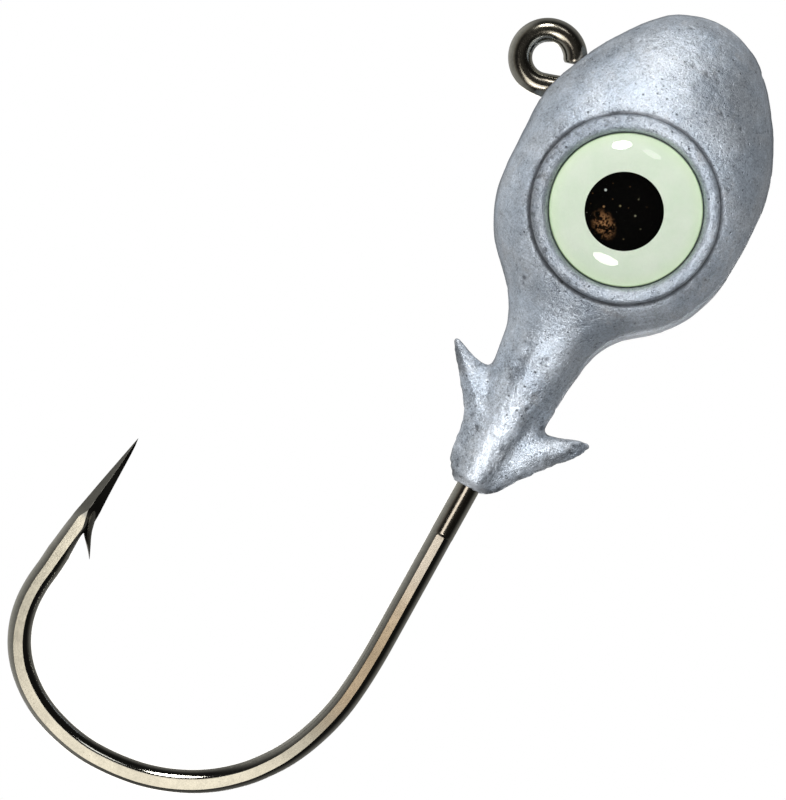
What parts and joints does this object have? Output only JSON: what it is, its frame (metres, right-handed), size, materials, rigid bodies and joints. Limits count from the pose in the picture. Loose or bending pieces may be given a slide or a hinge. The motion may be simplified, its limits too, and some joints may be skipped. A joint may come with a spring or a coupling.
{
  "type": "jig head",
  "caption": "Fishing jig head: a lead head cast on a forged right-angle hook, with a wire line tie, thorn bait keepers on its collar and domed luminous eyes in raised sockets.",
  "frame": {"origin": "middle of the overall length, on the middle plane, level with the lowest point of the head", "axes": "+X along the hook shank towards the nose, +Z towards the side that holds the line tie and the hook point, +Y completes the frame across the head, square to the plane of the hook"},
  "size_m": [0.0496, 0.0104, 0.0243],
  "materials": {
    "cast_lead": "as-cast satin lead with fine dark pits",
    "hook_steel": "black nickel plate over forged high-carbon wire",
    "eye_adhesive": "clear pressure-sensitive adhesive",
    "eye_film": "backing film",
    "eye_pupil": "black print with sparse gold flecks",
    "eye_iris": "pale green luminous print",
    "eye_dome": "clear domed resin"
  },
  "bodies": {
    "root": {"head_casting": "cast_lead", "jig_hook": "hook_steel", "left_eye_adhesive": "eye_adhesive", "left_eye_film": "eye_film", "left_eye_pupil": "eye_pupil", "left_eye_iris": "eye_iris", "left_eye_dome": "eye_dome", "right_eye_adhesive": "eye_adhesive", "right_eye_film": "eye_film", "right_eye_pupil": "eye_pupil", "right_eye_iris": "eye_iris", "right_eye_dome": "eye_dome"}
  },
  "joints": []
}
